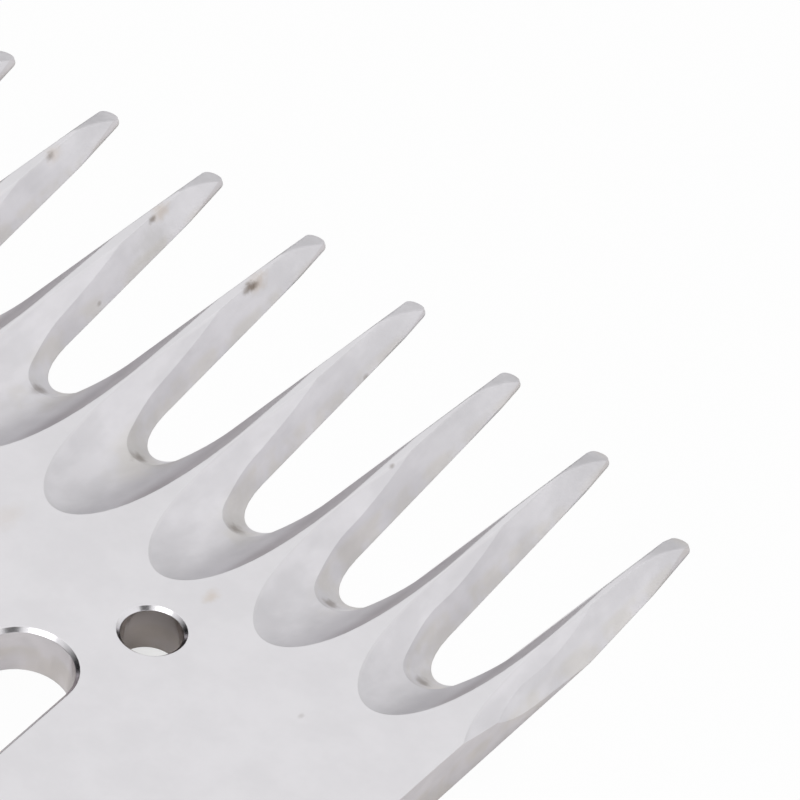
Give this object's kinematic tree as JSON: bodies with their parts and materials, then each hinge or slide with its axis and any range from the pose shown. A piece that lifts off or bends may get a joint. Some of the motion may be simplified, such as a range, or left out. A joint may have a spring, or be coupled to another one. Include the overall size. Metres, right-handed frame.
{
  "type": "sheep shear comb blade",
  "caption": "Flat steel comb blade of a sheep shearing handpiece, with tapered teeth between milled gaps, open screw slots at the rear and small round holes.",
  "frame": {"origin": "on the flat cutting face, below the middle of the plate", "axes": "+Y runs towards the tips of the teeth, +X across the teeth, +Z from the cutting face to the skin side"},
  "size_m": [0.0784, 0.051, 0.0026],
  "materials": {
    "ground_steel": "satin ground and polished tool steel with faint stains"
  },
  "bodies": {
    "root": {"comb_blade": "ground_steel"}
  },
  "joints": []
}
